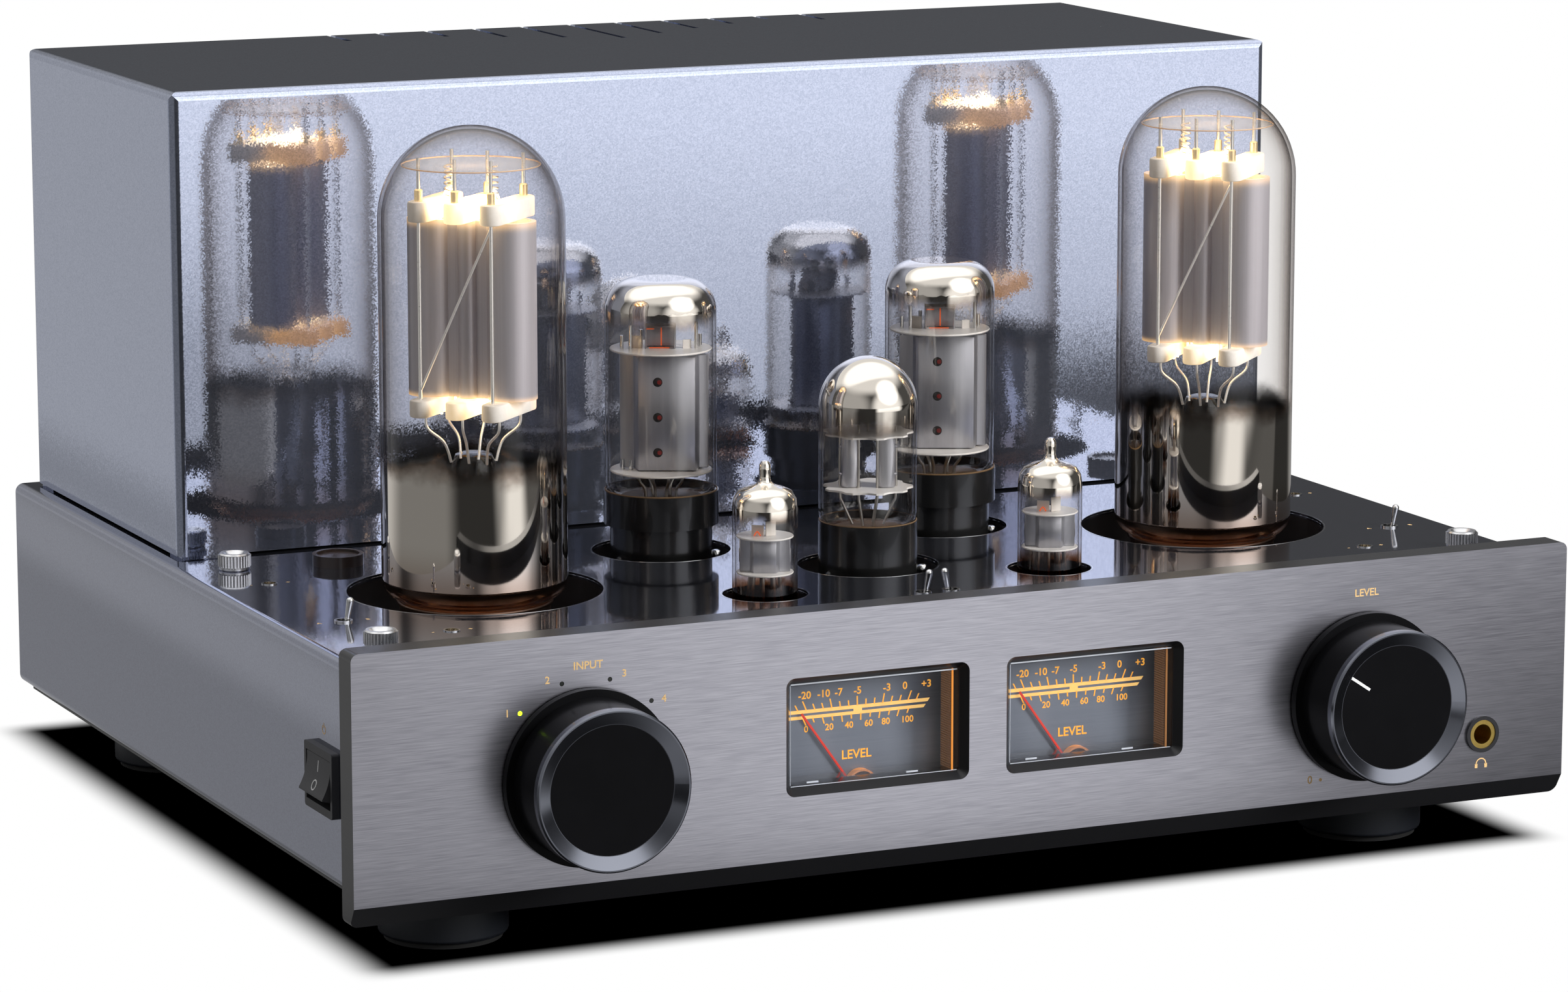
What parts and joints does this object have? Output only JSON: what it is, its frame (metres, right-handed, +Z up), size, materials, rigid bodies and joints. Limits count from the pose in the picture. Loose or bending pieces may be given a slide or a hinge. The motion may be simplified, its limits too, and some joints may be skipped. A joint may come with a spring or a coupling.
{
  "type": "stereo valve amplifier",
  "caption": "Stereo valve amplifier: brushed front plate with level meters and rotary knobs, deck with glass valves, folded chassis and a slotted metal transformer cover on round feet.",
  "frame": {"origin": "under the middle of the whole, in the plane that the foot pads stand on", "axes": "+Z up, +X to the right of someone facing the front plate, +Y from the front to the rear"},
  "size_m": [0.422, 0.3848, 0.2481],
  "materials": {
    "faceplate_metal": "brushed, anodised dark silver",
    "chassis_paint": "smooth gloss metallic paint",
    "cover_paint": "smooth gloss metallic flake paint",
    "panel_paint": "satin black",
    "foot_plastic": "satin black",
    "pad_rubber": "matt black",
    "screw_steel": "zinc plated",
    "can_paint": "matt black",
    "board_laminate": "green lacquer",
    "capacitor_sleeve": "dark blue sleeve",
    "socket_ceramic": "dark tray",
    "valve_glass": "clear",
    "base_brown": "brown moulding",
    "base_black": "black moulding",
    "anode_graphite": "matt graphite",
    "anode_metal": "dark grey carbonised",
    "frame_ceramic": "white ceramic",
    "knob_black": "gloss black lacquer",
    "shaft_steel": "turned",
    "control_body": "plated can",
    "jack_gold": "gold plated",
    "ring_black": "satin black",
    "lamp_green": "yellow-green diffuser",
    "meter_black": "satin black",
    "dial_grey": "brushed",
    "lens_clear": "clear, flat",
    "needle_red": "matt red",
    "switch_black": "fine texture",
    "toggle_chrome": "polished",
    "trimmer_brass": "turned",
    "guard_chrome": "knurled, polished",
    "cap_brown": "dark brown",
    "connector_gold": "gold plated",
    "inlet_black": "satin black"
  },
  "bodies": {
    "amplifier": {"faceplate": "faceplate_metal", "chassis_shell": "chassis_paint", "rear_panel": "panel_paint", "bottom_plate": "panel_paint", "transformer_cover": "cover_paint", "feet": "foot_plastic", "foot_pads": "pad_rubber", "foot_screws": "screw_steel", "panel_screws": "screw_steel", "mains_transformer": "can_paint", "output_transformer_left": "can_paint", "output_transformer_right": "can_paint", "circuit_board": "board_laminate", "filter_capacitors": "capacitor_sleeve", "power_valve_sockets": "socket_ceramic", "octal_sockets": "socket_ceramic", "small_valve_sockets": "socket_ceramic", "power_valve_glasses": "valve_glass", "power_valve_bases": "base_brown", "power_valve_anodes": "anode_graphite", "power_valve_frames": "frame_ceramic", "driver_valve_glasses": "valve_glass", "driver_valve_bases": "base_black", "driver_valve_anodes": "anode_metal", "centre_valve_glass": "valve_glass", "centre_valve_base": "base_black", "centre_valve_anodes": "anode_metal", "small_valve_glasses": "valve_glass", "small_valve_frames": "anode_metal", "selector_switch": "control_body", "volume_control": "control_body", "headphone_socket": "jack_gold", "headphone_ring": "ring_black", "input_lamps": "lamp_green", "meter_cases": "meter_black", "meter_dials": "dial_grey", "meter_lenses": "lens_clear", "power_switch": "switch_black", "toggle_bodies": "toggle_chrome", "trimmer_bodies": "guard_chrome", "guard_sockets": "guard_chrome", "deck_caps": "cap_brown", "line_sockets": "connector_gold", "speaker_posts": "connector_gold", "mains_inlet": "inlet_black"},
    "selector": {"selector_knob": "knob_black", "selector_shaft": "shaft_steel"},
    "volume": {"volume_knob": "knob_black", "volume_shaft": "shaft_steel"},
    "needle_left": {"meter_needle_left": "needle_red"},
    "needle_right": {"meter_needle_right": "needle_red"},
    "rocker": {"power_rocker": "switch_black"},
    "toggle_left": {"toggle_lever_left": "toggle_chrome"},
    "toggle_right": {"toggle_lever_right": "toggle_chrome"},
    "toggle_centre_left": {"toggle_lever_centre_left": "toggle_chrome"},
    "toggle_centre_right": {"toggle_lever_centre_right": "toggle_chrome"},
    "trimmer_back_left": {"trimmer_screw_back_left": "trimmer_brass"},
    "trimmer_front_left": {"trimmer_screw_front_left": "trimmer_brass"},
    "trimmer_front_right": {"trimmer_screw_front_right": "trimmer_brass"},
    "trimmer_back_right": {"trimmer_screw_back_right": "trimmer_brass"}
  },
  "joints": [
    {"name": "selector_turn", "type": "hinge", "parent": "amplifier", "child": "selector", "pos_m": [-0.1351, -0.1704, 0.0576], "axis": [0, 1, 0], "range_deg": [0, 90]},
    {"name": "volume_turn", "type": "hinge", "parent": "amplifier", "child": "volume", "pos_m": [0.1351, -0.1704, 0.0576], "axis": [0, 1, 0], "range_deg": [-93.5, 206.5]},
    {"name": "needle_left_swing", "type": "hinge", "parent": "amplifier", "child": "needle_left", "pos_m": [-0.0377, -0.1574, 0.0389], "axis": [0, 1, 0], "range_deg": [0, 71.4], "stiffness_Nm_per_rad": 0.002},
    {"name": "needle_right_swing", "type": "hinge", "parent": "amplifier", "child": "needle_right", "pos_m": [0.0377, -0.1574, 0.0389], "axis": [0, 1, 0], "range_deg": [0, 71.4], "stiffness_Nm_per_rad": 0.002},
    {"name": "rocker_tip", "type": "hinge", "parent": "amplifier", "child": "rocker", "pos_m": [-0.20475, -0.1394, 0.0573], "axis": [0, -1, 0], "range_deg": [0, 28]},
    {"name": "toggle_left_tip", "type": "hinge", "parent": "amplifier", "child": "toggle_left", "pos_m": [-0.1858, -0.0991, 0.0907], "axis": [0, -1, 0], "range_deg": [0, 22]},
    {"name": "toggle_right_tip", "type": "hinge", "parent": "amplifier", "child": "toggle_right", "pos_m": [0.1858, -0.0991, 0.0907], "axis": [0, -1, 0], "range_deg": [0, 22]},
    {"name": "toggle_centre_left_tip", "type": "hinge", "parent": "amplifier", "child": "toggle_centre_left", "pos_m": [-0.005, -0.134, 0.0907], "axis": [0, -1, 0], "range_deg": [0, 22]},
    {"name": "toggle_centre_right_tip", "type": "hinge", "parent": "amplifier", "child": "toggle_centre_right", "pos_m": [0.005, -0.134, 0.0907], "axis": [0, 1, 0], "range_deg": [0, 22]},
    {"name": "trimmer_back_left_turn", "type": "hinge", "parent": "amplifier", "child": "trimmer_back_left", "pos_m": [-0.1866, -0.0342, 0.0922], "axis": [0, 0, 1], "range_deg": [-135, 135]},
    {"name": "trimmer_front_left_turn", "type": "hinge", "parent": "amplifier", "child": "trimmer_front_left", "pos_m": [-0.1606, -0.1258, 0.0922], "axis": [0, 0, 1], "range_deg": [-135, 135]},
    {"name": "trimmer_front_right_turn", "type": "hinge", "parent": "amplifier", "child": "trimmer_front_right", "pos_m": [0.1606, -0.1258, 0.0922], "axis": [0, 0, 1], "range_deg": [-135, 135]},
    {"name": "trimmer_back_right_turn", "type": "hinge", "parent": "amplifier", "child": "trimmer_back_right", "pos_m": [0.1866, -0.0342, 0.0922], "axis": [0, 0, 1], "range_deg": [-135, 135]}
  ]
}
